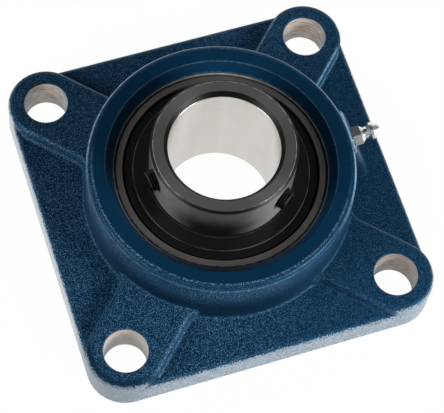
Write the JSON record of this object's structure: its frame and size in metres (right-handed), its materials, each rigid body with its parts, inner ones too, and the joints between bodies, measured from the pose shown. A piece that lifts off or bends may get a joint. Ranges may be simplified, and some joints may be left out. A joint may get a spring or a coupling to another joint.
{
  "type": "square flange bearing unit",
  "caption": "Square flange bearing unit: cast housing with corner bolt holes, self-aligning ball bearing insert locked to its shaft by set screws, and a grease nipple.",
  "frame": {"origin": "centre of the shaft bore on the flat mounting face", "axes": "+Z along the shaft bore away from the mounting face, +X towards the grease nipple, X and Y along the flange's sides"},
  "size_m": [0.13, 0.13, 0.0512],
  "materials": {
    "painted_iron": "dark blue semi-gloss enamel on a sand-cast surface, bare where machined",
    "ground_steel": "ground",
    "black_steel": "black oxide outside, ground bright in the bore",
    "black_sheet": "satin black",
    "screw_steel": "black oxide",
    "pressed_steel": "pressed, satin",
    "ball_steel": "polished",
    "spring_steel": "drawn wire",
    "zinc_plate": "zinc plated",
    "seal_rubber": "matt"
  },
  "bodies": {
    "housing": {"housing": "painted_iron", "nipple_body": "zinc_plate", "nipple_spring": "spring_steel"},
    "check_ball": {"nipple_check_ball": "ball_steel"},
    "stop_pin": {"stop_pin": "ground_steel"},
    "outer_ring": {"outer_ring": "ground_steel", "front_seal_plate": "pressed_steel", "front_seal_lip": "seal_rubber", "rear_seal_plate": "pressed_steel", "rear_seal_lip": "seal_rubber"},
    "inner_ring": {"inner_ring": "black_steel", "front_flinger": "black_sheet", "rear_flinger": "black_sheet"},
    "set_screw_1": {"set_screw_1": "screw_steel"},
    "set_screw_2": {"set_screw_2": "screw_steel"},
    "cage": {"cage_front_half": "pressed_steel", "cage_rear_half": "pressed_steel", "cage_rivets": "pressed_steel"},
    "ball_1": {"ball_1": "ball_steel"},
    "ball_2": {"ball_2": "ball_steel"},
    "ball_3": {"ball_3": "ball_steel"},
    "ball_4": {"ball_4": "ball_steel"},
    "ball_5": {"ball_5": "ball_steel"},
    "ball_6": {"ball_6": "ball_steel"},
    "ball_7": {"ball_7": "ball_steel"},
    "ball_8": {"ball_8": "ball_steel"},
    "ball_9": {"ball_9": "ball_steel"}
  },
  "joints": [
    {"name": "grease_check", "type": "slide", "parent": "housing", "child": "check_ball", "axis": [-0.9816, 0, -0.1908], "range_m": [0, 0.001], "stiffness_N_per_m": 400, "springref_m": -0.002, "deforming": ["nipple_spring"]},
    {"name": "align_swing", "type": "hinge", "parent": "housing", "child": "stop_pin", "pos_m": [0, 0, 0.021], "axis": [0, 1, 0], "range_deg": [-2, 2]},
    {"name": "align_tilt", "type": "hinge", "parent": "stop_pin", "child": "outer_ring", "pos_m": [0, 0, 0.021], "axis": [1, 0, 0], "range_deg": [-2, 2]},
    {"name": "shaft_spin", "type": "hinge", "parent": "outer_ring", "child": "inner_ring", "pos_m": [0, 0, 0.021], "axis": [0, 0, 1], "continuous": true},
    {"name": "cage_turn", "type": "hinge", "parent": "outer_ring", "child": "cage", "pos_m": [0, 0, 0.021], "axis": [0, 0, 1], "continuous": true},
    {"name": "ball_1_roll", "type": "hinge", "parent": "cage", "child": "ball_1", "pos_m": [0.02298, 0.01928, 0.021], "axis": [0, 0, 1], "continuous": true},
    {"name": "ball_2_roll", "type": "hinge", "parent": "cage", "child": "ball_2", "pos_m": [0.00521, 0.02954, 0.021], "axis": [0, 0, 1], "continuous": true},
    {"name": "ball_3_roll", "type": "hinge", "parent": "cage", "child": "ball_3", "pos_m": [-0.015, 0.02598, 0.021], "axis": [0, 0, 1], "continuous": true},
    {"name": "ball_4_roll", "type": "hinge", "parent": "cage", "child": "ball_4", "pos_m": [-0.02819, 0.01026, 0.021], "axis": [0, 0, 1], "continuous": true},
    {"name": "ball_5_roll", "type": "hinge", "parent": "cage", "child": "ball_5", "pos_m": [-0.02819, -0.01026, 0.021], "axis": [0, 0, 1], "continuous": true},
    {"name": "ball_6_roll", "type": "hinge", "parent": "cage", "child": "ball_6", "pos_m": [-0.015, -0.02598, 0.021], "axis": [0, 0, 1], "continuous": true},
    {"name": "ball_7_roll", "type": "hinge", "parent": "cage", "child": "ball_7", "pos_m": [0.00521, -0.02954, 0.021], "axis": [0, 0, 1], "continuous": true},
    {"name": "ball_8_roll", "type": "hinge", "parent": "cage", "child": "ball_8", "pos_m": [0.02298, -0.01928, 0.021], "axis": [0, 0, 1], "continuous": true},
    {"name": "ball_9_roll", "type": "hinge", "parent": "cage", "child": "ball_9", "pos_m": [0.03, 0, 0.021], "axis": [0, 0, 1], "continuous": true},
    {"name": "set_screw_1_turn", "type": "slide", "parent": "inner_ring", "child": "set_screw_1", "axis": [-0.9962, -0.0872, 0], "range_m": [-0.0003, 0.003]},
    {"name": "set_screw_2_turn", "type": "slide", "parent": "inner_ring", "child": "set_screw_2", "axis": [0.5736, -0.8192, 0], "range_m": [-0.0003, 0.003]}
  ],
  "couplings": [
    {"joint": "cage_turn", "follows": "shaft_spin", "ratio": 0.40078},
    {"joint": "ball_1_roll", "follows": "shaft_spin", "ratio": -2.4205},
    {"joint": "ball_2_roll", "follows": "shaft_spin", "ratio": -2.4205},
    {"joint": "ball_3_roll", "follows": "shaft_spin", "ratio": -2.4205},
    {"joint": "ball_4_roll", "follows": "shaft_spin", "ratio": -2.4205},
    {"joint": "ball_5_roll", "follows": "shaft_spin", "ratio": -2.4205},
    {"joint": "ball_6_roll", "follows": "shaft_spin", "ratio": -2.4205},
    {"joint": "ball_7_roll", "follows": "shaft_spin", "ratio": -2.4205},
    {"joint": "ball_8_roll", "follows": "shaft_spin", "ratio": -2.4205},
    {"joint": "ball_9_roll", "follows": "shaft_spin", "ratio": -2.4205}
  ]
}
